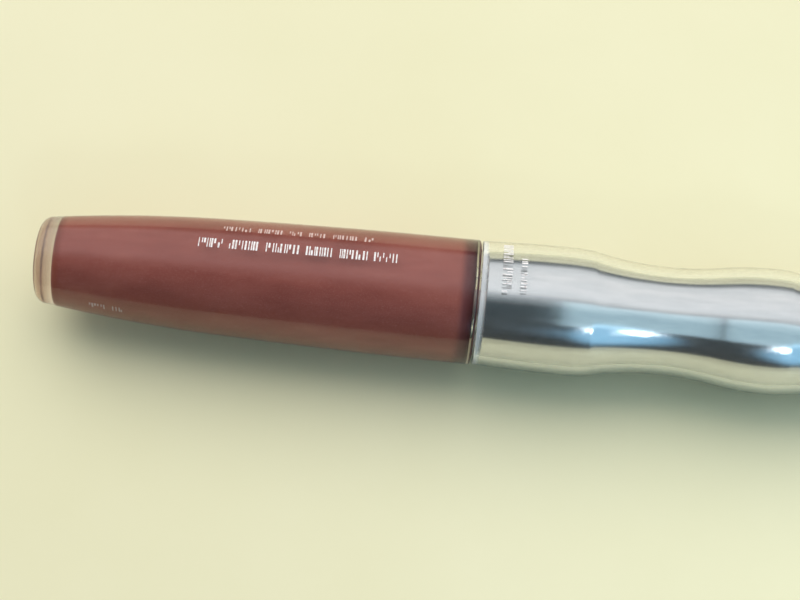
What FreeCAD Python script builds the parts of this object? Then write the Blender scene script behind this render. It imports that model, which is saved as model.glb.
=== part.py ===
"""Lip gloss tube, lying on its side: a thick clear bottle of gloss and a waisted cap that carries the wand.

Frame: +X runs along the axis from the bottle's base to the cap's closed end, +Z is up. The origin is below the
middle of the length, on the surface that the widest swelling of the cap rests on. Every outline below is drawn
in its body's XZ plane, x along the axis from the bottle's base and r out from it, and turned about the axis.
"""
import FreeCAD, Part
import os
import Sketcher

SIZES = [
    # bottle
    ("base_r", "5.95", "outer radius at the base, past the rounded rim"),
    ("rim_round", "1.5", "rounding of the base rim"),
    ("dish_r", "3.6", "radius of the shallow dish under the base"),
    ("dish_deep", "0.3", "depth of that dish"),
    ("taper_x", "24", "where the steep taper near the base turns into the gentle one"),
    ("taper_r", "7.9", "outer radius there"),
    ("shoulder_x", "59.5", "end of the bottle's shoulder"),
    ("body_r", "8.5", "outer radius at the shoulder"),
    ("edge_round", "0.35", "rounding of the shoulder's edge"),
    ("wall", "1.5", "thickness of the bottle's wall"),
    ("base_thick", "2.6", "thickness of the heavy base"),
    ("heel_r", "4.85", "inner radius just above the rounding inside the base"),
    ("heel_round", "1.4", "rounding inside the base"),
    ("shoulder_thick", "0.6", "thickness of the shoulder"),
    ("seam_turn", "2.2", "degrees that every piece is turned about the axis, half a facet of the mesh"),
    ("inner_shoulder", "1.9", "rounding inside the shoulder"),
    # neck and thread
    ("neck_top", "69.5", "rim of the neck"),
    ("neck_r", "4.4", "outer radius of the neck"),
    ("bore_r", "3.3", "bore of the neck"),
    ("crest_r", "4.9", "crest of the neck's thread"),
    ("thread_x", "62", "start of the thread"),
    ("pitch", "2.5", "rise of the thread in one turn"),
    ("turns", "2", "turns of the thread"),
    ("crest_width", "0.5", "width of the thread's crest"),
    ("root_width", "1.1", "width of the thread's root"),
    ("crest_gap", "0.07", "radial gap between the two threads' crests"),
    # fits
    ("film", "0.03", "gap between the gloss and the bottle's wall"),
    ("skin_gap", "0.08", "gap between the cap's nested shells"),
    ("face_gap", "0.05", "gap between faces that meet when the cap is closed"),
    # wiper
    ("wiper_flange_r", "4.3", "radius of the wiper's flange"),
    ("wiper_flange", "0.5", "thickness of that flange"),
    ("wiper_bore", "2.75", "bore of the wiper"),
    ("wiper_lip_r", "2.06", "opening of the wiper's lip"),
    ("wiper_skirt", "5.5", "length of the wiper's barrel"),
    ("wiper_cone", "2.2", "length of the cone below the barrel"),
    ("wiper_wall", "0.5", "thickness of the lip"),
    # cap
    ("cap_gap", "0.2", "gap between the shoulder and the cap's mouth"),
    ("cap_length", "57", "length of the cap"),
    ("cap_wall", "1.25", "thickness of the clear cap shell"),
    ("mouth_r", "8.4", "outer radius at the mouth"),
    ("swell_x", "11.8", "first swelling, from the mouth"),
    ("swell_r", "8.74", "its radius, the widest of the whole tube"),
    ("crease_x", "15.2", "crease where the contour turns in to the first waist"),
    ("crease_r", "8.58", "its radius"),
    ("waist_x", "25.5", "first waist, from the mouth"),
    ("waist_r", "7.37", "its radius"),
    ("crown_x", "40", "second swelling, from the mouth"),
    ("crown_r", "8.58", "its radius"),
    ("ledge_x", "41.8", "crease where the contour turns in to the second waist"),
    ("ledge_r", "8.5", "its radius"),
    ("tail_x", "50.2", "second waist, from the mouth"),
    ("tail_r", "7.8", "its radius"),
    ("flare_r", "8.1", "outer radius at the closed end"),
    ("end_round", "1.1", "rounding of the closed end"),
    ("end_thick", "1.6", "thickness of the closed end"),
    ("sleeve_wall", "0.35", "thickness of the silver sleeve"),
    ("sleeve_inset", "0.9", "how far the sleeve stops inside the mouth"),
    # inner cap
    ("skirt_inset", "1.3", "how far the inner cap stops inside the mouth"),
    ("skirt_r", "6.28", "outer radius of the inner cap"),
    ("skirt_bore", "5.45", "bore of the inner cap, past its thread"),
    ("disc_thick", "1.5", "thickness of the inner cap's top"),
    ("socket_r", "2.9", "outer radius of the wand's socket"),
    ("socket_long", "7.5", "length of that socket"),
    ("socket_end", "1", "thickness of the socket's closed end"),
    ("gusset_r", "5.2", "reach of the gussets round the socket"),
    ("gusset_thick", "0.8", "thickness of a gusset"),
    ("gusset_count", "6", "number of gussets"),
    ("seal_thick", "0.8", "thickness of the seal washer"),
    ("seal_r", "4.85", "outer radius of the seal washer"),
    ("seal_bore", "2.6", "hole of the seal washer"),
    # wand
    ("stem_r", "1.75", "radius of the wand's stem"),
    ("stem_x", "21", "lower end of the stem"),
    ("collar_r", "2.3", "radius of the stem's collar under the inner cap"),
    ("pin_r", "0.9", "radius of the pin that plugs the tip into the stem"),
    ("pin_long", "4.5", "length of that pin"),
    ("tip_x", "5.6", "lower end of the flocked tip"),
    ("flock_r", "1.95", "outer radius of the flocked tip"),
    ("flock_thick", "0.4", "thickness of the flock"),
    ("slant_x", "15", "where the tip's slanted face starts"),
    ("slant_r", "0.55", "how far past the axis the slanted face ends"),
    ("dip_gap", "0.2", "room round the wand in the gloss"),
    ("tip_round", "0.8", "rounding of the end of the tip's core"),
]

# the cap's contour as arcs from the mouth to the closed end: start, end, and the point that the arc is level
# at, or None for a swell or dip that is level at both of its ends
STRETCHES = [
    ("mouth", "swell", "swell"),
    ("swell", "crease", "swell"),
    ("crease", "waist", "waist"),
    ("waist", "crown", None),
    ("crown", "ledge", "crown"),
    ("ledge", "tail", "tail"),
    ("tail", "flare", None),
]

document = FreeCAD.newDocument("lip_gloss_tube")
sheet = document.addObject("Spreadsheet::Sheet", "Sizes")
for row, (alias, number, meaning) in enumerate(SIZES, start=1):
    sheet.set("A%d" % row, alias)
    sheet.set("B%d" % row, number)
    sheet.set("C%d" % row, meaning)
    sheet.setAlias("B%d" % row, alias)
document.recompute()


class Size:
    """A length worked out from the sheet: its value now, and the expression that keeps it bound to the sheet."""

    def __init__(self, value, expression):
        self.value = value
        self.expression = expression

    def __add__(self, other):
        return Size(self.value + other.value, "%s + %s" % (self.expression, other.expression))

    def __sub__(self, other):
        return Size(self.value - other.value, "%s - (%s)" % (self.expression, other.expression))

    def half(self):
        return Size(self.value / 2, "(%s) / 2" % self.expression)


def size(alias):
    return Size(float(sheet.get(alias)), "Sizes." + alias)


ZERO = Size(0.0, "0")

# places along the axis, from the bottle's base
SHOULDER = size("shoulder_x")
MOUTH = SHOULDER + size("cap_gap")
CAP_END = MOUTH + size("cap_length")
FLANGE_TOP = size("neck_top") + size("wiper_flange")
SEAL_BOTTOM = FLANGE_TOP + size("face_gap")
SEAL_TOP = SEAL_BOTTOM + size("seal_thick")
DISC_BOTTOM = SEAL_TOP + size("face_gap")
DISC_TOP = DISC_BOTTOM + size("disc_thick")
SOCKET_TOP = DISC_TOP + size("socket_long")
CAVITY_TOP = SHOULDER - size("shoulder_thick")


def new_body(label):
    body = document.addObject("PartDesign::Body", label)
    body.Label = label
    return body


def place(piece):
    """Lay a piece in the part's frame: its length centred on X, its widest swelling on the floor."""
    # a flat of the mesh lies underneath, so that the meshed tube doesn't stand on an edge
    turn = FreeCAD.Rotation(FreeCAD.Vector(1, 0, 0), float(sheet.get("seam_turn")))
    piece.Placement = FreeCAD.Placement(FreeCAD.Vector(0, 0, 0), turn)
    piece.setExpression("Placement.Rotation.Angle", "Sizes.seam_turn")
    piece.setExpression("Placement.Base.x", "-(%s) / 2" % CAP_END.expression)
    piece.setExpression("Placement.Base.z", "Sizes.swell_r")


def origin_plane(body, role):
    return next(f for f in body.Origin.OriginFeatures if f.Role == role)


class Outline:
    """A closed outline in a body's XZ plane, drawn from point to point with lines and arcs."""

    def __init__(self, body, name):
        self.sketch = body.newObject("Sketcher::SketchObject", name)
        self.sketch.AttachmentSupport = (origin_plane(body, "XZ_Plane"), [""])
        self.sketch.MapMode = "FlatFace"
        self.first = None
        self.point = None
        self.end = None
        self.centre = None

    def bind(self, kind, geometry, position, length):
        """Hold one coordinate of a point at a length from the sheet."""
        if length.value == 0:
            axis = -2 if kind == "DistanceX" else -1
            self.sketch.addConstraint(Sketcher.Constraint("PointOnObject", geometry, position, axis))
            return
        index = self.sketch.addConstraint(Sketcher.Constraint(kind, -1, 1, geometry, position, length.value))
        self.sketch.renameConstraint(index, "held_%d" % index)
        self.sketch.setExpression("Constraints.held_%d" % index, length.expression)

    def start(self, x, r):
        self.first = self.point = (x, r)
        return self

    def join(self, geometry, start, end, x, r):
        """Tie a new edge to the one before it, and hold its far end."""
        if self.end is None:
            self.opening = (geometry, start)
        else:
            self.sketch.addConstraint(Sketcher.Constraint("Coincident", *self.end, geometry, start))
        self.bind("DistanceX", geometry, end, x)
        self.bind("DistanceY", geometry, end, r)
        self.point = (x, r)
        self.end = (geometry, end)

    def line(self, x, r):
        ends = [FreeCAD.Vector(a.value, b.value, 0) for a, b in (self.point, (x, r))]
        self.join(self.sketch.addGeometry(Part.LineSegment(*ends)), 1, 2, x, r)
        return self

    def add_arc(self, x, r, centre_x, centre_r):
        """Add the short arc about a centre, which Sketcher always runs anticlockwise."""
        centre = FreeCAD.Vector(centre_x, centre_r, 0)
        spokes = [FreeCAD.Vector(a.value, b.value, 0) - centre for a, b in (self.point, (x, r))]
        forward = spokes[0].cross(spokes[1]).z > 0
        if not forward:
            spokes.reverse()
        circle = Part.Circle(centre, FreeCAD.Vector(0, 0, 1), spokes[0].Length)
        angles = [circle.parameter(centre + spoke) for spoke in spokes]
        geometry = self.sketch.addGeometry(Part.ArcOfCircle(circle, *angles))
        previous = self.end
        self.join(geometry, 1 if forward else 2, 2 if forward else 1, x, r)
        self.centre = (centre_x, centre_r)
        return geometry, previous, 1 if forward else 2

    def arc(self, x, r, centre_x):
        """Arc to (x, r) whose centre is at centre_x along the axis."""
        (x0, r0), (x1, r1) = [(a.value, b.value) for a, b in (self.point, (x, r))]
        c = centre_x.value
        centre_r = ((x1 - c) ** 2 - (x0 - c) ** 2 + r1 ** 2 - r0 ** 2) / (2 * (r1 - r0))
        geometry, _, _ = self.add_arc(x, r, c, centre_r)
        self.bind("DistanceX", geometry, 3, centre_x)
        return self

    def flowing_arc(self, x, r):
        """Arc to (x, r) that carries on smoothly from the arc before it."""
        here = FreeCAD.Vector(self.point[0].value, self.point[1].value, 0)
        chord = FreeCAD.Vector(x.value, r.value, 0) - here
        inward = (FreeCAD.Vector(*self.centre, 0) - here).normalize()
        centre = here + inward * (chord.Length ** 2 / (2 * chord.dot(inward)))
        geometry, previous, start = self.add_arc(x, r, centre.x, centre.y)
        # the tangency joins the two ends as well, so it replaces their coincidence
        index = next(i for i, c in enumerate(self.sketch.Constraints)
                     if c.Type == "Coincident" and geometry in (c.First, c.Second))
        self.sketch.delConstraint(index)
        self.sketch.addConstraint(Sketcher.Constraint("Tangent", *previous, geometry, start))
        return self

    def wave(self, x, r):
        """Swell or dip to (x, r) as two equal arcs, level at both ends."""
        x0, r0 = self.point
        self.arc((x0 + x).half(), (r0 + r).half(), x0)
        return self.arc(x, r, x)

    def seal(self):
        """Close an outline whose last edge already ends at its first point."""
        self.sketch.addConstraint(Sketcher.Constraint("Coincident", *self.end, *self.opening))
        return self.sketch

    def close(self):
        self.line(*self.first)
        return self.seal()


def revolve(body, sketch):
    """Turn a finished outline about the tube's axis."""
    turned = body.newObject("PartDesign::Revolution", sketch.Name + "_turned")
    turned.Profile = sketch
    turned.ReferenceAxis = (sketch, ["H_Axis"])
    turned.Angle = 360
    sketch.Visibility = False
    return turned


def thread(body, root_r, crest_r, first_x):
    """Add a helical ridge between two radii, from first_x on."""
    document.recompute()
    root = size("root_width").half()
    crest = size("crest_width").half()
    middle = first_x + root
    sketch = (Outline(body, body.Name + "_thread")
              .start(middle - root, root_r).line(middle - crest, crest_r)
              .line(middle + crest, crest_r).line(middle + root, root_r).close())
    ridge = body.newObject("PartDesign::AdditiveHelix", body.Name + "_ridge")
    ridge.Profile = sketch
    ridge.ReferenceAxis = (sketch, ["H_Axis"])
    ridge.Mode = 1
    ridge.Pitch = float(sheet.get("pitch"))
    ridge.Turns = float(sheet.get("turns"))
    ridge.setExpression("Pitch", "Sizes.pitch")
    ridge.setExpression("Turns", "Sizes.turns")
    ridge.Angle = 0
    ridge.LeftHanded = False
    ridge.Reversed = False
    sketch.Visibility = False


def slant_cut(body, back_off, deep):
    """Cut the tip to the slanted face of a doe-foot, parallel to the flocked face and back_off behind it."""
    document.recompute()
    reach = size("flock_r") + size("flock_r")
    end = size("tip_x") - size("flock_thick")
    sketch = (Outline(body, body.Name + "_slant")
              .start(size("slant_x") + back_off, reach)
              .line(end, reach).line(end, ZERO - size("slant_r") - deep).close())
    cut = body.newObject("PartDesign::Pocket", body.Name + "_face")
    cut.Profile = sketch
    cut.Type = 0
    cut.Midplane = True
    cut.Length = 4 * float(sheet.get("flock_r"))
    cut.setExpression("Length", "4 * Sizes.flock_r")
    sketch.Visibility = False


def ogive(outline, inset, first_x, first_r):
    """From the shoulder down the bottle's taper to first_x, first_r, inset from the outer surface."""
    outline.arc(size("taper_x"), size("taper_r") - inset, SHOULDER)
    return outline.flowing_arc(first_x, first_r)


def cap_skin(name, mouth_x, end_x, outer, inner, end_wall):
    """A cup that follows the cap's contour, between two insets from its outer surface."""
    body = new_body(name)
    outline = Outline(body, name + "_outline")
    corner = size("end_round")
    outline.start(mouth_x, size("mouth_r") - inner)
    outline.line(mouth_x, size("mouth_r") - outer)
    for start, end, level in STRETCHES:
        follow(outline, end, level, outer, mouth_x, end_x - corner)
    outline.arc(end_x, size("flare_r") - outer - corner, end_x - corner)
    outline.line(end_x, ZERO)
    outline.line(end_x - end_wall, ZERO)
    outline.line(end_x - end_wall, size("flare_r") - inner - corner)
    outline.arc(end_x - end_wall - corner, size("flare_r") - inner, end_x - end_wall - corner)
    for start, end, level in reversed(STRETCHES):
        follow(outline, start, level, inner, mouth_x, end_x - end_wall - corner)
    revolve(body, outline.seal())
    return body


def follow(outline, name, level, inset, mouth_x, flare_x):
    """Carry an outline on along one stretch of the cap's contour, to the named point."""
    ends = {"mouth": mouth_x, "flare": flare_x}
    x = ends[name] if name in ends else MOUTH + size(name + "_x")
    r = size(name + "_r") - inset
    if level:
        outline.arc(x, r, MOUTH + size(level + "_x"))
    else:
        outline.wave(x, r)


def make_tube_body():
    body = new_body("tube_body")
    wall = size("wall")
    edge = size("edge_round")
    rim = size("rim_round")
    heel = size("heel_round")
    corner = size("inner_shoulder")
    dish = (float(sheet.get("dish_r")), float(sheet.get("dish_deep")))
    dish_centre = Size((dish[1] ** 2 - dish[0] ** 2) / (2 * dish[1]),
                       "(Sizes.dish_deep ^ 2 - Sizes.dish_r ^ 2) / (2 * Sizes.dish_deep)")
    outline = Outline(body, "tube_outline")
    outline.start(size("neck_top"), size("bore_r")).line(size("neck_top"), size("neck_r"))
    outline.line(SHOULDER, size("neck_r")).line(SHOULDER, size("body_r") - edge)
    outline.arc(SHOULDER - edge, size("body_r"), SHOULDER - edge)
    ogive(outline, ZERO, rim, size("base_r"))
    outline.arc(ZERO, size("base_r") - rim, rim)
    outline.line(ZERO, size("dish_r"))
    outline.arc(size("dish_deep"), ZERO, dish_centre)
    outline.line(size("base_thick"), ZERO)
    outline.line(size("base_thick"), size("heel_r") - heel)
    outline.arc(size("base_thick") + heel, size("heel_r"), size("base_thick") + heel)
    outline.arc(size("taper_x"), size("taper_r") - wall, SHOULDER)
    outline.arc(CAVITY_TOP - corner, size("body_r") - wall, SHOULDER)
    outline.arc(CAVITY_TOP, size("body_r") - wall - corner, CAVITY_TOP - corner)
    outline.line(CAVITY_TOP, size("bore_r"))
    revolve(body, outline.close())
    thread(body, size("neck_r") - size("film"), size("crest_r"), size("thread_x"))
    return body


def make_gloss_fill():
    """The gloss, up to the shoulder, with room for the wand down its middle."""
    body = new_body("gloss_fill")
    inset = size("wall") + size("film")
    heel = size("heel_round")
    corner = size("inner_shoulder")
    bottom = size("base_thick") + size("film")
    top = CAVITY_TOP - size("film")
    dip_r = size("flock_r") + size("dip_gap")
    dip_x = size("tip_x") - size("dip_gap")
    heel_r = size("heel_r") - size("film")
    outline = Outline(body, "gloss_outline").start(bottom, ZERO)
    outline.line(bottom, heel_r - heel)
    outline.arc(bottom + heel, heel_r, bottom + heel)
    outline.arc(size("taper_x"), size("taper_r") - inset, SHOULDER)
    outline.arc(top - corner, size("body_r") - inset, SHOULDER)
    outline.arc(top, size("body_r") - inset - corner, top - corner)
    outline.line(top, dip_r).line(dip_x, dip_r).line(dip_x, ZERO)
    revolve(body, outline.close())
    return body


def make_neck_wiper():
    body = new_body("neck_wiper")
    lip_x = size("neck_top") - size("wiper_skirt") - size("wiper_cone")
    lip_wall = size("wiper_wall")
    outline = Outline(body, "wiper_outline").start(FLANGE_TOP, size("wiper_bore"))
    outline.line(FLANGE_TOP, size("wiper_flange_r")).line(size("neck_top"), size("wiper_flange_r"))
    outline.line(size("neck_top"), size("bore_r"))
    outline.line(size("neck_top") - size("wiper_skirt"), size("bore_r"))
    outline.line(lip_x, size("wiper_lip_r") + lip_wall).line(lip_x, size("wiper_lip_r"))
    outline.line(lip_x + lip_wall, size("wiper_lip_r"))
    outline.line(size("neck_top") - size("wiper_skirt") + lip_wall, size("wiper_bore"))
    revolve(body, outline.close())
    return body


def make_inner_cap():
    """The threaded insert: a skirt, a top, and a socket that holds the wand, with gussets round it."""
    body = new_body("inner_cap")
    bottom = MOUTH + size("skirt_inset")
    outline = Outline(body, "inner_cap_outline").start(bottom, size("skirt_bore"))
    outline.line(bottom, size("skirt_r")).line(DISC_TOP, size("skirt_r"))
    outline.line(DISC_TOP, size("socket_r")).line(SOCKET_TOP, size("socket_r")).line(SOCKET_TOP, ZERO)
    outline.line(SOCKET_TOP - size("socket_end"), ZERO).line(SOCKET_TOP - size("socket_end"), size("stem_r"))
    outline.line(DISC_BOTTOM, size("stem_r")).line(DISC_BOTTOM, size("skirt_bore"))
    revolve(body, outline.close())
    thread(body, size("skirt_bore") + size("film"), size("crest_r") + size("crest_gap"),
           size("thread_x") + size("pitch").half() - size("crest_width"))
    document.recompute()
    buried = size("socket_r") - size("face_gap")
    gusset_sketch = (Outline(body, "gusset_outline")
                     .start(DISC_TOP - size("face_gap"), buried)
                     .line(DISC_TOP - size("face_gap"), size("gusset_r"))
                     .line(SOCKET_TOP - size("socket_end"), buried).close())
    gusset = body.newObject("PartDesign::Pad", "gusset")
    gusset.Profile = gusset_sketch
    gusset.Midplane = True
    gusset.Length = float(sheet.get("gusset_thick"))
    gusset.setExpression("Length", "Sizes.gusset_thick")
    gusset_sketch.Visibility = False
    ring = body.newObject("PartDesign::PolarPattern", "gussets")
    ring.Originals = [gusset]
    ring.Axis = (gusset_sketch, ["H_Axis"])
    ring.Angle = 360
    ring.Occurrences = int(float(sheet.get("gusset_count")))
    ring.setExpression("Occurrences", "Sizes.gusset_count")
    body.Tip = ring
    return body


def make_seal_washer():
    body = new_body("seal_washer")
    outline = Outline(body, "seal_outline").start(SEAL_BOTTOM, size("seal_bore"))
    outline.line(SEAL_BOTTOM, size("seal_r")).line(SEAL_TOP, size("seal_r"))
    outline.line(SEAL_TOP, size("seal_bore"))
    revolve(body, outline.close())
    return body


def make_wand_stem():
    body = new_body("wand_stem")
    top = SOCKET_TOP - size("socket_end")
    pin_top = size("stem_x") + size("pin_long")
    outline = Outline(body, "stem_outline").start(size("stem_x"), size("pin_r"))
    outline.line(size("stem_x"), size("stem_r")).line(SEAL_BOTTOM, size("stem_r"))
    outline.line(SEAL_BOTTOM, size("collar_r")).line(DISC_BOTTOM, size("collar_r"))
    outline.line(DISC_BOTTOM, size("stem_r")).line(top, size("stem_r")).line(top, ZERO)
    outline.line(pin_top, ZERO).line(pin_top, size("pin_r"))
    revolve(body, outline.close())
    return body


def rounded_rod(body, name, first_x, radius, corner, ends):
    """A rod from a rounded tip at first_x, drawn on through the (x, r) points in ends."""
    outline = Outline(body, name).start(first_x, ZERO)
    outline.line(first_x, radius - corner)
    outline.arc(first_x + corner, radius, first_x + corner)
    for x, r in ends:
        outline.line(x, r)
    revolve(body, outline.close())


def make_applicator_core():
    body = new_body("applicator_core")
    core_r = size("flock_r") - size("flock_thick")
    pin_top = size("stem_x") + size("pin_long")
    rounded_rod(body, "core_outline", size("tip_x") + size("flock_thick"), core_r, size("tip_round"),
                [(size("stem_x"), core_r), (size("stem_x"), size("pin_r")),
                 (pin_top, size("pin_r")), (pin_top, ZERO)])
    slant_cut(body, size("tip_round"), size("flock_thick"))
    return body


def make_applicator_flock(core):
    """The coat of flock: the fat outer form of the tip, less the core that it is bonded to."""
    coat = new_body("flock_form")
    top = size("stem_x") - size("tip_round")
    rounded_rod(coat, "flock_outline", size("tip_x"), size("flock_r"), size("end_round"),
                [(top, size("flock_r")), (top, ZERO)])
    slant_cut(coat, ZERO, ZERO)
    place(coat)
    flock = document.addObject("Part::Cut", "applicator_flock")
    flock.Base = coat
    flock.Tool = core
    flock.Label = "applicator_flock"
    return flock


shell_inner = size("cap_wall")
sleeve_outer = shell_inner + size("skin_gap")
core = make_applicator_core()
turned_pieces = [
    make_tube_body(),
    make_gloss_fill(),
    make_neck_wiper(),
    cap_skin("cap_shell", MOUTH, CAP_END, ZERO, shell_inner, size("end_thick")),
    cap_skin("cap_sleeve", MOUTH + size("sleeve_inset"), CAP_END - size("end_thick") - size("skin_gap"),
             sleeve_outer, sleeve_outer + size("sleeve_wall"), size("sleeve_wall")),
    make_inner_cap(),
    make_seal_washer(),
    make_wand_stem(),
    core,
]
for piece in turned_pieces:
    place(piece)
# the flock is cut from forms that are already in place, so it needs no move of its own
pieces = turned_pieces + [make_applicator_flock(core)]
document.recompute()

for item in document.Objects:
    if "Invalid" in item.State or "Error" in item.State:
        raise RuntimeError("%s did not compute: %s" % (item.Label, item.State))
for piece in pieces:
    if piece.Shape.isNull() or not piece.Shape.isValid() or len(piece.Shape.Solids) != 1:
        raise RuntimeError("%s is not one valid solid" % piece.Label)

os.makedirs("parts", exist_ok=True)
for piece in pieces:
    piece.Shape.exportStep("parts/%s.step" % piece.Label)
    box = piece.Shape.optimalBoundingBox()
    print("%-18s %8.1f mm3  x %.2f..%.2f  z %.2f..%.2f"
          % (piece.Label, piece.Shape.Volume, box.XMin, box.XMax, box.ZMin, box.ZMax))
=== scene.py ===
"""Looks of the lip gloss tube: clear bottle, pearly gloss, clear cap over a silver sleeve, and the wand.

Everything is in metres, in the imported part's frame: +X along the tube, +Z up. Profiles are (s, r)
points, where s runs along the axis from the bottle's base and r out from the axis.
"""

import math
import random

import bmesh
import bpy
from mathutils import Matrix, Vector


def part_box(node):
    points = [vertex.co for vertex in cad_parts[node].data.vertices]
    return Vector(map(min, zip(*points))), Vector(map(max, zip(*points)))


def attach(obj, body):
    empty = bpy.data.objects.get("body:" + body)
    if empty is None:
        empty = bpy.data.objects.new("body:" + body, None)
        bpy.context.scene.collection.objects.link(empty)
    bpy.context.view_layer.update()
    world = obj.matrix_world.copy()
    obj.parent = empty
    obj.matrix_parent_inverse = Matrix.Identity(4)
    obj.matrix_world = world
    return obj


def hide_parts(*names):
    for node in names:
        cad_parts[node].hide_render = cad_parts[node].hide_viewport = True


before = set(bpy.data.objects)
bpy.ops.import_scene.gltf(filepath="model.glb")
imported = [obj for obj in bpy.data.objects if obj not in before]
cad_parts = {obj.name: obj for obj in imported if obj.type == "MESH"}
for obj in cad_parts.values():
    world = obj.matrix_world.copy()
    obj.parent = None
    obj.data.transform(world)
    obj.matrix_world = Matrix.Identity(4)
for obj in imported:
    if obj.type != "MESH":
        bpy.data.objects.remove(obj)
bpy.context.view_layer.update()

MM = 0.001
BASE_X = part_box("tube_body")[0].x
AXIS_Z = (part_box("tube_body")[0].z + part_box("tube_body")[1].z) / 2
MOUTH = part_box("cap_shell")[0].x - BASE_X
CAP_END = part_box("cap_shell")[1].x - BASE_X
NECK_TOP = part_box("tube_body")[1].x - BASE_X
SHOULDER = MOUTH - 0.2 * MM

# sizes that several profiles share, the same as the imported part's
RIM_ROUND, RIM_R = 1.5 * MM, 5.95 * MM
BEND_S, BEND_R = 24 * MM, 7.9 * MM
SHOULDER_R, EDGE_ROUND, SHOULDER_THICK = 8.5 * MM, 0.35 * MM, 0.6 * MM
NECK_R, THREAD_R = 4.4 * MM, 4.9 * MM
CAP_ROUND, CAP_WALL, CAP_END_WALL = 1.1 * MM, 1.25 * MM, 1.6 * MM
SKIN_GAP, SLEEVE_WALL = 0.08 * MM, 0.35 * MM

SEGMENTS = 160
SHARP_EDGE = math.radians(35)
SHARP_CORNER = math.radians(25)
INK_FOOT, INK_TOP = -0.01 * MM, 0.02 * MM
TINY = 1e-9


# ---------------------------------------------------------------- profiles

def arc_points(start, end, centre_s, count):
    """Points after start on the arc to end whose centre is at centre_s along the axis."""
    (s0, r0), (s1, r1) = start, end
    centre_r = ((s1 - centre_s) ** 2 - (s0 - centre_s) ** 2 + r1 ** 2 - r0 ** 2) / (2 * (r1 - r0))
    a0 = math.atan2(r0 - centre_r, s0 - centre_s)
    a1 = math.atan2(r1 - centre_r, s1 - centre_s)
    turn = (a1 - a0 + math.pi) % (2 * math.pi) - math.pi
    radius = math.hypot(s0 - centre_s, r0 - centre_r)
    angles = [a0 + turn * k / count for k in range(1, count + 1)]
    return [(centre_s + radius * math.cos(a), centre_r + radius * math.sin(a)) for a in angles]


def wave_points(knots, count=14):
    """A run of level-ended swells and dips through knots, each made of two equal arcs."""
    points = [knots[0]]
    for start, end in zip(knots, knots[1:]):
        middle = ((start[0] + end[0]) / 2, (start[1] + end[1]) / 2)
        points += arc_points(start, middle, start[0], count)
        points += arc_points(middle, end, end[0], count)
    return points


def softened(points, radius, steps=4):
    """The closed profile with each sharp corner rounded."""
    result = []
    size = len(points)
    for i, here in enumerate(points):
        here = Vector(here)
        back = Vector(points[i - 1]) - here
        ahead = Vector(points[(i + 1) % size]) - here
        turn = math.pi - back.angle(ahead)
        if turn < SHARP_CORNER or here.y < TINY:
            result.append(tuple(here))
            continue
        reach = min(radius * math.tan(turn / 2), back.length * 0.45, ahead.length * 0.45)
        first = here + back.normalized() * reach
        last = here + ahead.normalized() * reach
        for k in range(steps + 1):
            t = k / steps
            point = first.lerp(here, t).lerp(here.lerp(last, t), t)
            result.append(tuple(point))
    return result


def bottle_taper(count=26):
    """The bottle's outer surface from the base rim to the shoulder."""
    rim = (RIM_ROUND, RIM_R)
    bend = (BEND_S, BEND_R)
    end = (SHOULDER - EDGE_ROUND, SHOULDER_R)
    gentle = [bend] + arc_points(bend, end, SHOULDER, count)
    # the steeper taper near the base leaves the gentle one with the same slope
    slope = (gentle[1][1] - bend[1]) / (gentle[1][0] - bend[0])
    length = bend[0] - rim[0]
    extra = bend[1] - rim[1] - slope * length
    steep = []
    for k in range(count):
        t = k / count
        steep.append((rim[0] + t * length, rim[1] + slope * length * t + extra * (1 - (1 - t) ** 2)))
    return steep + gentle


def bottle_cavity(grow=0.0, count=26):
    """The bottle's inside, from the middle of its base to its shoulder, grown by a film."""
    base = 2.6 * MM - grow
    top = SHOULDER - SHOULDER_THICK + grow
    heel, corner = 1.4 * MM, 1.9 * MM
    heel_r, bend_r, end_r = 4.85 * MM + grow, 6.4 * MM + grow, 7.0 * MM + grow
    points = [(base, heel_r - heel)]
    points += arc_points(points[-1], (base + heel, heel_r), base + heel, 10)
    points += arc_points(points[-1], (BEND_S, bend_r), SHOULDER, count)
    points += arc_points(points[-1], (top - corner, end_r), SHOULDER, count)
    return points + arc_points(points[-1], (top, end_r - corner), top - corner, 12)


def cap_contour(inset, mouth=None, flare=None, count=14):
    """The cap's surface from its mouth to the start of its rounded end, inset from the outside."""
    mouth = MOUTH if mouth is None else mouth
    flare = CAP_END - CAP_ROUND if flare is None else flare
    swell, crease = (MOUTH + 11.8 * MM, 8.74 * MM - inset), (MOUTH + 15.2 * MM, 8.58 * MM - inset)
    waist, crown = (MOUTH + 25.5 * MM, 7.37 * MM - inset), (MOUTH + 40 * MM, 8.58 * MM - inset)
    ledge, tail = (MOUTH + 41.8 * MM, 8.5 * MM - inset), (MOUTH + 50.2 * MM, 7.8 * MM - inset)
    points = [(mouth, 8.4 * MM - inset)]
    points += arc_points(points[-1], swell, swell[0], count)
    points += arc_points(swell, crease, swell[0], count)
    points += arc_points(crease, waist, waist[0], count * 2)
    points += wave_points([waist, crown], count * 2)[1:]
    points += arc_points(crown, ledge, crown[0], count)
    points += arc_points(ledge, tail, tail[0], count * 2)
    return points + wave_points([tail, (flare, 8.1 * MM - inset)], count)[1:]


def radius_at(profile, s):
    """The radius of a profile at s."""
    for (s0, r0), (s1, r1) in zip(profile, profile[1:]):
        if s0 <= s <= s1:
            return r0 + (r1 - r0) * (s - s0) / max(s1 - s0, TINY)
    return profile[-1][1]


# ---------------------------------------------------------------- meshes

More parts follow.
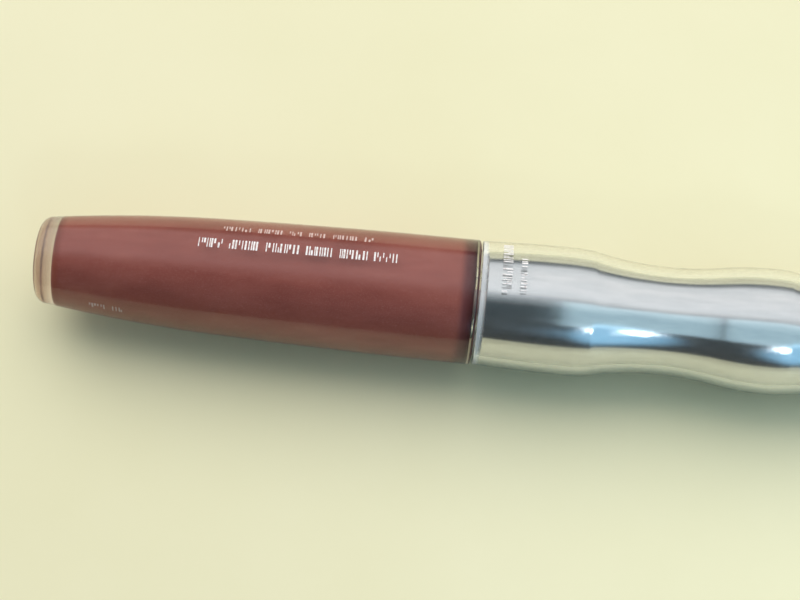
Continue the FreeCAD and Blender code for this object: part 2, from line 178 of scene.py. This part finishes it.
def add_mesh(name, verts, faces, material):
    """A smooth-shaded object of one material, with its sharp edges kept."""
    mesh = bpy.data.meshes.new(name)
    mesh.from_pydata([tuple(v) for v in verts], [], faces)
    mesh.validate()
    mesh.polygons.foreach_set("use_smooth", [True] * len(mesh.polygons))
    mesh.set_sharp_from_angle(angle=SHARP_EDGE)
    mesh.materials.append(material)
    obj = bpy.data.objects.new(name, mesh)
    bpy.context.scene.collection.objects.link(obj)
    return obj


def on_axis(s, r, angle):
    """A point in the part's frame, at s along the tube, r from its axis, turned about +X from +Y."""
    return Vector((BASE_X + s, r * math.cos(angle), AXIS_Z + r * math.sin(angle)))


def lathe(name, profile, material, ridge=None):
    """Turn a closed profile about the axis. ridge(s, r, angle) may lift the surface."""
    verts = []
    rings = []
    for s, r in profile:
        if r < TINY:
            rings.append([len(verts)])
            verts.append(on_axis(s, 0, 0))
            continue
        ring = []
        for k in range(SEGMENTS):
            angle = 2 * math.pi * k / SEGMENTS
            lift = ridge(s, r, angle) if ridge else 0
            ring.append(len(verts))
            verts.append(on_axis(s, r + lift, angle))
        rings.append(ring)
    faces = []
    for i, ring in enumerate(rings):
        other = rings[(i + 1) % len(rings)]
        for k in range(SEGMENTS):
            n = (k + 1) % SEGMENTS
            if len(ring) > 1 and len(other) > 1:
                faces.append((ring[k], other[k], other[n], ring[n]))
            elif len(ring) > 1:
                faces.append((ring[k], other[0], ring[n]))
            elif len(other) > 1:
                faces.append((ring[0], other[k], other[n]))
    obj = add_mesh(name, verts, faces, material)
    outward(obj)
    return obj


def outward(obj):
    """Turn a closed mesh's faces outward."""
    work = bmesh.new()
    work.from_mesh(obj.data)
    bmesh.ops.recalc_face_normals(work, faces=work.faces)
    work.to_mesh(obj.data)
    work.free()
    obj.data.set_sharp_from_angle(angle=SHARP_EDGE)


# ---------------------------------------------------------------- materials

def new_material(name):
    """An empty material with a Principled shader: (material, tree, shader, output)."""
    material = bpy.data.materials.new(name)
    material.use_nodes = True
    nodes = material.node_tree.nodes
    nodes.clear()
    output = nodes.new("ShaderNodeOutputMaterial")
    shader = nodes.new("ShaderNodeBsdfPrincipled")
    material.node_tree.links.new(shader.outputs[0], output.inputs["Surface"])
    return material, material.node_tree, shader, output


def texture_space(tree, scale=(1, 1, 1)):
    """The object's own coordinates in metres, scaled."""
    coordinates = tree.nodes.new("ShaderNodeTexCoord")
    mapping = tree.nodes.new("ShaderNodeMapping")
    mapping.inputs["Scale"].default_value = scale
    tree.links.new(coordinates.outputs["Object"], mapping.inputs["Vector"])
    return mapping.outputs["Vector"]


def noise_value(tree, vector, scale, detail=4.0, roughness=0.55):
    """A noise from 0 to 1 at points of a texture space."""
    node = tree.nodes.new("ShaderNodeTexNoise")
    node.inputs["Scale"].default_value = scale
    node.inputs["Detail"].default_value = detail
    node.inputs["Roughness"].default_value = roughness
    tree.links.new(vector, node.inputs["Vector"])
    return node.outputs["Fac"]


def ramp(tree, value, stops):
    """A colour ramp over a value; stops are (position, colour)."""
    node = tree.nodes.new("ShaderNodeValToRGB")
    elements = node.color_ramp.elements
    while len(elements) < len(stops):
        elements.new(0.5)
    for element, (position, colour) in zip(elements, stops):
        element.position = position
        element.color = (*colour, 1)
    tree.links.new(value, node.inputs["Fac"])
    return node.outputs["Color"]


def to_range(tree, value, low, high):
    """A value of 0 to 1 stretched to run from low to high."""
    node = tree.nodes.new("ShaderNodeMapRange")
    node.inputs["To Min"].default_value = low
    node.inputs["To Max"].default_value = high
    tree.links.new(value, node.inputs["Value"])
    return node.outputs["Result"]


def add_bump(tree, shader, value, strength, distance):
    """Roughen a shader's surface by a height."""
    node = tree.nodes.new("ShaderNodeBump")
    node.inputs["Strength"].default_value = strength
    node.inputs["Distance"].default_value = distance
    tree.links.new(value, node.inputs["Height"])
    tree.links.new(node.outputs["Normal"], shader.inputs["Normal"])


def feed(tree, socket, value):
    """Give an input a constant, or link another node's output to it."""
    if isinstance(value, bpy.types.NodeSocket):
        tree.links.new(value, socket)
    else:
        socket.default_value = value


def worked_out(tree, operation, *values):
    """The result of a math node on outputs or constants."""
    node = tree.nodes.new("ShaderNodeMath")
    node.operation = operation
    for socket, value in zip(node.inputs, values):
        feed(tree, socket, value)
    return node.outputs[0]


def blended(tree, blend, factor, first, second):
    """Two colours put together; each of the three values is an output or a constant."""
    node = tree.nodes.new("ShaderNodeMix")
    node.data_type = "RGBA"
    node.blend_type = blend
    feed(tree, node.inputs["Factor"], factor)
    feed(tree, node.inputs["A"], first)
    feed(tree, node.inputs["B"], second)
    return node.outputs["Result"]


def along_tube(tree, none_s, full_s):
    """A smooth step along the tube, 0 at none_s and beyond and 1 at full_s and beyond."""
    place = tree.nodes.new("ShaderNodeSeparateXYZ")
    tree.links.new(texture_space(tree), place.inputs[0])
    step = tree.nodes.new("ShaderNodeMapRange")
    step.interpolation_type = "SMOOTHSTEP"
    step.inputs["From Min"].default_value = BASE_X + none_s
    step.inputs["From Max"].default_value = BASE_X + full_s
    tree.links.new(place.outputs["X"], step.inputs["Value"])
    return step.outputs["Result"]


def clear_plastic(name, tint, roughness=(0.02, 0.09)):
    """Thick clear moulded plastic, faintly uneven, that lets lamps through to what it holds."""
    material, tree, shader, output = new_material(name)
    shader.inputs["Base Color"].default_value = (*tint, 1)
    shader.inputs["Transmission Weight"].default_value = 1
    shader.inputs["IOR"].default_value = 1.5
    flow = texture_space(tree, (0.35, 1, 1))
    smears = noise_value(tree, flow, 420, 5)
    tree.links.new(to_range(tree, smears, *roughness), shader.inputs["Roughness"])
    add_bump(tree, shader, noise_value(tree, flow, 160, 2), 0.12, 0.00006)
    path = tree.nodes.new("ShaderNodeLightPath")
    through = tree.nodes.new("ShaderNodeBsdfTransparent")
    through.inputs["Color"].default_value = (0.93, 0.93, 0.92, 1)
    mix = tree.nodes.new("ShaderNodeMixShader")
    tree.links.new(path.outputs["Is Shadow Ray"], mix.inputs["Fac"])
    tree.links.new(shader.outputs[0], mix.inputs[1])
    tree.links.new(through.outputs[0], mix.inputs[2])
    tree.links.new(mix.outputs[0], output.inputs["Surface"])
    return material, tree, shader


def paint_milky_light(tree, shader, zones, amount, tint):
    """Paint light into a clear plastic: milky and tinted at each zone's second s, and clear at its first.
    """
    milky = along_tube(tree, *zones[0])
    for zone in zones[1:]:
        milky = worked_out(tree, "MAXIMUM", milky, along_tube(tree, *zone))
    passed = worked_out(tree, "MULTIPLY_ADD", milky, -amount, 1)
    tree.links.new(passed, shader.inputs["Transmission Weight"])
    clear = tuple(shader.inputs["Base Color"].default_value)
    tinted = blended(tree, "MULTIPLY", milky, clear, (*tint, 1))
    tree.links.new(tinted, shader.inputs["Base Color"])


def bottle_plastic():
    """Clear plastic, painted a little milky and brown in its thick base, a painted refraction of the gloss
    seen through it.
    """
    material, tree, shader = clear_plastic("clear_bottle", (0.97, 0.95, 0.92), (0.07, 0.16))
    # painted refraction: the thick base is made milky and brown like the gloss seen through it
    paint_milky_light(tree, shader, [(3.2 * MM, 1.2 * MM)], 0.24, (0.62, 0.47, 0.38))
    return material


def cap_plastic():
    """Clear plastic, painted a little milky at its mouth and closed end: a painted highlight on the rim,
    painted light over the end.
    """
    material, tree, shader = clear_plastic("clear_cap", (0.97, 0.97, 0.96))
    lip = (MOUTH + 1.0 * MM, MOUTH + 0.45 * MM)
    closed_end = (CAP_END - 2.2 * MM, CAP_END - 0.6 * MM)
    # painted light: milky rings stand for a highlight on the mouth's rim and hide the dark ring at the
    # closed end
    paint_milky_light(tree, shader, [lip, closed_end], 0.28, (0.97, 0.98, 1.0))
    return material


def gloss_material():
    """Pearly rose gloss: slow streaks of pigment under a fine shimmer of mica, with painted shade toward
    the neck.
    """
    material, tree, shader, _ = new_material("pearl_gloss")
    flow = texture_space(tree, (0.3, 1, 1))
    streaks = noise_value(tree, flow, 300, 5, 0.6)
    colour = ramp(tree, streaks, [(0.3, (0.275, 0.068, 0.052)), (0.52, (0.335, 0.090, 0.070)),
                                  (0.75, (0.39, 0.118, 0.092))])
    mica = noise_value(tree, texture_space(tree), 9000, 2, 0.7)
    sparkle = ramp(tree, mica, [(0.55, (0, 0, 0)), (0.72, (0.13, 0.085, 0.08))])
    pearl = blended(tree, "ADD", 1, colour, sparkle)
    # painted shade: the gloss is darkened and turned mauve near the shoulder, where shade falls
    neck_shade = along_tube(tree, SHOULDER - 2.9 * MM, SHOULDER - 1.5 * MM)
    shaded = blended(tree, "MULTIPLY", neck_shade, pearl, (0.42, 0.36, 0.46, 1))
    tree.links.new(shaded, shader.inputs["Base Color"])
    shader.inputs["Metallic"].default_value = 0.4
    tree.links.new(to_range(tree, streaks, 0.44, 0.56), shader.inputs["Roughness"])
    add_bump(tree, shader, mica, 0.25, 0.00003)
    return material


def silver_material():
    """Bright metallised plastic, with faint moulding streaks along the sleeve."""
    material, tree, shader, _ = new_material("silver_sleeve")
    flow = texture_space(tree, (0.15, 1, 1))
    streaks = noise_value(tree, flow, 700, 5, 0.6)
    tree.links.new(ramp(tree, streaks, [(0.3, (0.60, 0.62, 0.64)), (0.7, (0.70, 0.71, 0.72))]),
                   shader.inputs["Base Color"])
    shader.inputs["Metallic"].default_value = 1
    tree.links.new(to_range(tree, streaks, 0.11, 0.21), shader.inputs["Roughness"])
    add_bump(tree, shader, noise_value(tree, flow, 220, 3), 0.15, 0.00006)
    return material


def moulded_plastic(name, low, high, scale=900, roughness=(0.38, 0.55), depth=0.00003):
    """Opaque moulded plastic with a fine spark-eroded grain."""
    material, tree, shader, _ = new_material(name)
    space = texture_space(tree)
    tone = noise_value(tree, space, 180, 4)
    tree.links.new(ramp(tree, tone, [(0.3, low), (0.7, high)]), shader.inputs["Base Color"])
    grain = noise_value(tree, space, scale * 6, 3)
    tree.links.new(to_range(tree, grain, *roughness), shader.inputs["Roughness"])
    shader.inputs["Subsurface Weight"].default_value = 0.08
    shader.inputs["Subsurface Scale"].default_value = 0.0006
    add_bump(tree, shader, grain, 0.3, depth)
    return material


def ink_material(name, worn, whole):
    """Screen-printed ink, slightly worn and uneven."""
    material, tree, shader, _ = new_material(name)
    wear = noise_value(tree, texture_space(tree), 2600, 4, 0.7)
    tree.links.new(ramp(tree, wear, [(0.32, worn), (0.5, whole)]), shader.inputs["Base Color"])
    tree.links.new(to_range(tree, wear, 0.7, 0.45), shader.inputs["Roughness"])
    add_bump(tree, shader, wear, 0.3, 0.00001)
    return material


def floor_material():
    """Plain pale matt board."""
    material, tree, shader, _ = new_material("pale_floor")
    space = texture_space(tree)
    tone = noise_value(tree, space, 14, 6, 0.6)
    tree.links.new(ramp(tree, tone, [(0.3, (0.80, 0.74, 0.47)), (0.7, (0.84, 0.78, 0.52))]),
                   shader.inputs["Base Color"])
    tree.links.new(to_range(tree, noise_value(tree, space, 220, 4), 0.5, 0.62), shader.inputs["Roughness"])
    return material


# ---------------------------------------------------------------- bottle

def thread_ridge(s, r, angle):
    """Lift of the neck's right-hand thread over the neck's outer surface."""
    start, pitch, turns = 62.55 * MM, 2.5 * MM, 2
    half_root, flank = 0.55 * MM, 0.3 * MM
    fades_per_turn = 8
    if abs(r - NECK_R) > 0.02 * MM:
        return 0
    best = 0
    for k in range(-1, turns + 1):
        path = angle / (2 * math.pi) + k
        if not 0 <= path <= turns:
            continue
        away = abs(s - start - pitch * path)
        height = min(1, max(0, (half_root - away) / flank))
        fade = min(1, path * fades_per_turn, (turns - path) * fades_per_turn)
        best = max(best, height * fade)
    return best * (THREAD_R - NECK_R)


def make_bottle():
    """The clear bottle, one closed skin: dished base, taper, shoulder, threaded neck, bore, cavity."""
    bore_r = 3.31 * MM
    dish_deep, dish_r, dish_steps = 0.3 * MM, 3.6 * MM, 8
    shares = [k / dish_steps for k in range(dish_steps + 1)]
    ring = (0, RIM_R - RIM_ROUND)
    rim = [(dish_deep * (1 - share ** 2), dish_r * share) for share in shares] + [ring]
    rim += arc_points(ring, (RIM_ROUND, RIM_R), RIM_ROUND, 12)[:-1]
    outer = bottle_taper()
    shoulder = arc_points(outer[-1], (SHOULDER, SHOULDER_R - EDGE_ROUND), SHOULDER - EDGE_ROUND, 6)
    # the neck has many rings, so that the thread can rise from it
    neck_foot, neck_rings = SHOULDER + 0.5 * MM, 80
    reach = NECK_TOP - 0.5 * MM - neck_foot
    neck = [(neck_foot + reach * k / neck_rings, NECK_R) for k in range(neck_rings + 1)]
    inner = bottle_cavity()
    profile = rim + outer + shoulder + [(SHOULDER, NECK_R)] + neck
    profile += [(NECK_TOP, NECK_R), (NECK_TOP, bore_r), (inner[-1][0], bore_r)]
    profile += inner[::-1] + [(inner[0][0], 0)]
    piece = lathe("bottle", softened(profile, 0.2 * MM), bottle_plastic(), thread_ridge)
    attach(piece, "tube")
    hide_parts("tube_body")


def make_gloss():
    """The gloss, whose skin lies just inside the plastic, so that no air shows between them."""
    wetting = 0.05 * MM
    side = bottle_cavity(wetting)
    channel_r, channel_end = 2.15 * MM, 5.4 * MM
    profile = [(side[0][0], 0)] + side + [(side[-1][0], channel_r)]
    profile += [(channel_end + 0.5 * MM, channel_r), (channel_end, 0)]
    piece = lathe("gloss", softened(profile, 0.15 * MM, 6), gloss_material())
    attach(piece, "tube")
    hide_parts("gloss_fill")


# ---------------------------------------------------------------- cap

def cap_skin_profile(mouth, end, outer, inner, end_wall):
    """A closed cup profile between two insets of the cap's contour."""
    def side(inset, last):
        points = cap_contour(inset, mouth, last - CAP_ROUND)
        edge = points[-1]
        return points + arc_points(edge, (last, edge[1] - CAP_ROUND), last - CAP_ROUND, 8)

    return side(outer, end) + [(end, 0), (end - end_wall, 0)] + side(inner, end - end_wall)[::-1]


def make_cap_shell():
    """The cap's clear outer skin."""
    profile = cap_skin_profile(MOUTH, CAP_END, 0, CAP_WALL, CAP_END_WALL)
    piece = lathe("cap_clear", softened(profile, 0.25 * MM), cap_plastic())
    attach(piece, "cap")
    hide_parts("cap_shell")


def make_cap_sleeve():
    """The silver sleeve, a little way behind the clear skin and following it."""
    outer = CAP_WALL + SKIN_GAP
    mouth, end = MOUTH + 0.9 * MM, CAP_END - CAP_END_WALL - SKIN_GAP
    profile = cap_skin_profile(mouth, end, outer, outer + SLEEVE_WALL, SLEEVE_WALL)
    piece = lathe("cap_silver", softened(profile, 0.12 * MM), silver_material())
    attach(piece, "cap_core")
    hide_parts("cap_sleeve")


# ---------------------------------------------------------------- printed marks

def block(verts, faces, surface, s, angle, along, around):
    """One printed tick with cut corners, a thin closed solid on the surface."""
    cut = 0.15
    shape = [(-1, -1 + cut), (-1 + cut, -1), (1 - cut, -1), (1, -1 + cut),
             (1, 1 - cut), (1 - cut, 1), (-1 + cut, 1), (-1, 1 - cut)]
    first = len(verts)
    for height in (INK_FOOT, INK_TOP):
        for u, v in shape:
            here = s + u * along / 2
            r = radius_at(surface, here)
            verts.append(on_axis(here, r + height, angle + v * around / 2 / r))
    count = len(shape)
    faces.append(tuple(first + k for k in reversed(range(count))))
    faces.append(tuple(first + count + k for k in range(count)))
    for k in range(count):
        n = (k + 1) % count
        faces.append((first + k, first + n, first + count + n, first + count + k))


def tick_run(length, draws):
    """Ticks of a code-like pattern along a run: (place, width, share of the height, offset)."""
    place = 0
    in_group = draws.randint(4, 11)
    while place < length:
        wide = draws.choice((0.13, 0.16, 0.24)) * MM
        share = draws.choice((0.55, 1.0, 1.0, 1.0))
        offset = 0 if share == 1 else draws.choice((-0.22, 0.22))
        yield place, wide, share, offset
        place += wide + draws.choice((0.14, 0.2, 0.3)) * MM
        in_group -= 1
        if in_group == 0:
            place += 0.75 * MM
            in_group = draws.randint(4, 11)


def make_tube_marks(ink, faint_ink):
    """Rows of plain ticks along the bottle, where the real one carries small print."""
    draws = random.Random(7)
    surface = bottle_taper()
    # name, ink, start in mm from the base, turn in degrees, length in mm, height in mm
    rows = (("bottle_print", ink, 22, 71, 26.5, 1.45), ("bottle_print_small", faint_ink, 25, 50, 20, 1.0),
            ("bottle_print_code", faint_ink, 8, 158, 4.4, 0.9))
    for name, material, start, turn, length, height in rows:
        verts, faces = [], []
        angle = math.radians(turn)
        for place, wide, share, offset in tick_run(length * MM, draws):
            here = start * MM + place
            away = offset * height * MM / radius_at(surface, here)
            block(verts, faces, surface, here, angle + away, wide, height * share * MM)
        piece = add_mesh(name, verts, faces, material)
        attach(piece, "tube")


def make_cap_marks(ink):
    """Two columns of plain ticks round the cap near its mouth."""
    draws = random.Random(11)
    verts, faces = [], []
    surface = cap_contour(0)
    cap_r = 8.5 * MM
    # mm from the mouth, first and last turn in degrees, height in mm
    for s, first, last, tall in ((3.4, 36, 94, 1.3), (5.6, 58, 92, 0.8)):
        for place, wide, share, offset in tick_run(math.radians(last - first) * cap_r, draws):
            angle = math.radians(first) + place / cap_r
            block(verts, faces, surface, MOUTH + (s + offset * tall) * MM, angle, tall * share * MM, wide)
    piece = add_mesh("cap_print", verts, faces, ink)
    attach(piece, "cap")


# ---------------------------------------------------------------- wand and inner parts

def repaint(node, material):
    """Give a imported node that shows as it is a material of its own."""
    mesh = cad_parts[node].data
    for k in range(len(mesh.materials)):
        mesh.materials[k] = material


def flock_material():
    """Short fibres soaked in gloss."""
    material, tree, shader, _ = new_material("flock_fibre")
    tone = noise_value(tree, texture_space(tree), 1500, 4, 0.7)
    tree.links.new(ramp(tree, tone, [(0.3, (0.40, 0.13, 0.11)), (0.7, (0.66, 0.33, 0.29))]),
                   shader.inputs["Base Color"])
    tree.links.new(to_range(tree, tone, 0.35, 0.7), shader.inputs["Roughness"])
    shader.inputs["Sheen Weight"].default_value = 0.5
    add_bump(tree, shader, tone, 0.5, 0.00006)
    return material


def paint_inner_parts():
    """Materials for the hidden parts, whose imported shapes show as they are."""
    repaint("neck_wiper", moulded_plastic("wiper_polythene", (0.74, 0.72, 0.68), (0.86, 0.84, 0.80)))
    repaint("inner_cap", moulded_plastic("inner_cap_plastic", (0.76, 0.76, 0.74), (0.86, 0.86, 0.84)))
    repaint("seal_washer", moulded_plastic("seal_foam", (0.78, 0.78, 0.77), (0.90, 0.90, 0.89), 400,
                                           (0.7, 0.9), 0.00008))
    repaint("wand_stem", moulded_plastic("stem_plastic", (0.72, 0.60, 0.56), (0.84, 0.74, 0.70)))
    repaint("applicator_core", moulded_plastic("core_plastic", (0.74, 0.70, 0.66), (0.84, 0.80, 0.77)))
    repaint("applicator_flock", flock_material())


# ---------------------------------------------------------------- stage

def make_floor():
    """A plain floor under the tube."""
    bpy.ops.mesh.primitive_plane_add(size=3, location=(0, 0, 0))
    floor = bpy.context.object
    floor.name = "floor"
    floor.data.materials.append(floor_material())


def soft_light(name, direction, distance, size, power, colour, aim=Vector((0, 0, AXIS_Z))):
    """A rectangular lamp that shines at a point from a direction."""
    data = bpy.data.lights.new(name, "AREA")
    data.shape = "RECTANGLE"
    data.size, data.size_y = size
    data.energy = power
    data.color = colour
    lamp = bpy.data.objects.new(name, data)
    toward = Vector(direction).normalized()
    lamp.location = aim + toward * distance
    lamp.rotation_euler = (-toward).to_track_quat("-Z", "Y").to_euler()
    bpy.context.scene.collection.objects.link(lamp)
    return lamp


def sky_value(tree, direction, core, edge):
    """How near the sky is to a direction: 1 within core degrees of it, 0 past edge degrees."""
    coordinates = tree.nodes.new("ShaderNodeTexCoord")
    dot = tree.nodes.new("ShaderNodeVectorMath")
    dot.operation = "DOT_PRODUCT"
    dot.inputs[1].default_value = Vector(direction).normalized()
    tree.links.new(coordinates.outputs["Generated"], dot.inputs[0])
    near = tree.nodes.new("ShaderNodeMapRange")
    near.interpolation_type = "SMOOTHSTEP"
    near.inputs["From Min"].default_value = math.cos(math.radians(edge))
    near.inputs["From Max"].default_value = math.cos(math.radians(core))
    tree.links.new(dot.outputs["Value"], near.inputs["Value"])
    return near.outputs["Result"]


def make_sky():
    """A room, bright behind the tube, dimmer overhead and dark in front, with a blue patch front right."""
    world = bpy.data.worlds.new("soft_room")
    bpy.context.scene.world = world
    world.use_nodes = True
    tree = world.node_tree
    split = tree.nodes.new("ShaderNodeSeparateXYZ")
    tree.links.new(tree.nodes.new("ShaderNodeTexCoord").outputs["Generated"], split.inputs[0])
    # 0 is level behind the tube, 0.5 is overhead and 1 is level in front
    turn = worked_out(tree, "ARCTAN2", split.outputs["Z"], split.outputs["Y"])
    room = ramp(tree, worked_out(tree, "DIVIDE", turn, math.pi), [
        (0.0, (0.06, 0.08, 0.09)), (0.03, (0.12, 0.14, 0.15)), (0.08, (0.82, 0.85, 0.87)),
        (0.2, (0.96, 0.97, 0.98)), (0.42, (0.92, 0.95, 0.98)), (0.50, (0.32, 0.36, 0.38)),
        (0.57, (0.055, 0.072, 0.080)), (0.9, (0.05, 0.055, 0.055)),
    ])
    patch = sky_value(tree, (0.47, -0.77, 0.43), 10, 27)
    sky = blended(tree, "MIX", patch, room, (0.34, 0.70, 1.0, 1))
    tree.links.new(sky, tree.nodes["Background"].inputs["Color"])
    tree.nodes["Background"].inputs["Strength"].default_value = 1.15


def make_lights():
    """The room, a soft box over the back, a small glint front right, and panels over the cap."""
    make_sky()
    up = math.radians(52)
    box = soft_light("soft_box", (-0.1, math.cos(up), math.sin(up)), 0.6, (0.7, 0.5), 2.6, (1, 0.985, 0.97))
    # the box lights the tube softly without standing in its silver as a hard white shape
    box.visible_glossy = False
    box.visible_transmission = False
    soft_light("cool_glint", (0.36, -0.766, 0.643), 0.5, (0.05, 0.04), 0.12, (0.86, 0.94, 1))
    # panels close over the cap and past its end, one inside another, so that the silver mirrors
    # them as one with a soft edge
    polar = math.radians(110)
    toward = (0, math.cos(polar), math.sin(polar))
    watts_per_area = 2.4
    for step, inset in enumerate((0.0, 0.008, 0.016, 0.024)):
        width, height = 0.196 - 2 * inset, 0.084 - 2 * inset
        soft_light("cap_panel_%d" % step, toward, 0.1, (width, height), watts_per_area * width * height,
                   (0.60, 0.87, 1), Vector((0.118, 0, AXIS_Z)))


def make_camera():
    """Looks down on the tube from its front side, steeply, with the tube falling gently to the right."""
    elevation = math.radians(75)
    slope = math.radians(5.7)
    distance = 0.245
    target = Vector((BASE_X + SHOULDER - 10.3 * MM, 0, AXIS_Z))
    back = Vector((0, -math.cos(elevation), math.sin(elevation)))
    right = Vector((1, 0, 0))
    up = back.cross(right)
    across, rise = math.cos(slope), math.sin(slope)
    right, up = right * across + up * rise, up * across - right * rise
    data = bpy.data.cameras.new("camera")
    data.lens = 81
    data.sensor_width = 36
    camera = bpy.data.objects.new("camera", data)
    rotation = Matrix((right, up, back)).transposed().to_4x4()
    camera.matrix_world = Matrix.Translation(target - up * 0.7 * MM + back * distance) @ rotation
    bpy.context.scene.collection.objects.link(camera)
    bpy.context.scene.camera = camera


make_bottle()
make_gloss()
make_cap_shell()
make_cap_sleeve()
white_ink = ink_material("white_ink", (0.50, 0.42, 0.40), (0.82, 0.78, 0.76))
make_tube_marks(white_ink, ink_material("faint_ink", (0.40, 0.22, 0.19), (0.58, 0.42, 0.38)))
make_cap_marks(white_ink)
paint_inner_parts()
make_floor()
make_lights()
make_camera()
bpy.context.scene.view_settings.view_transform = "Standard"
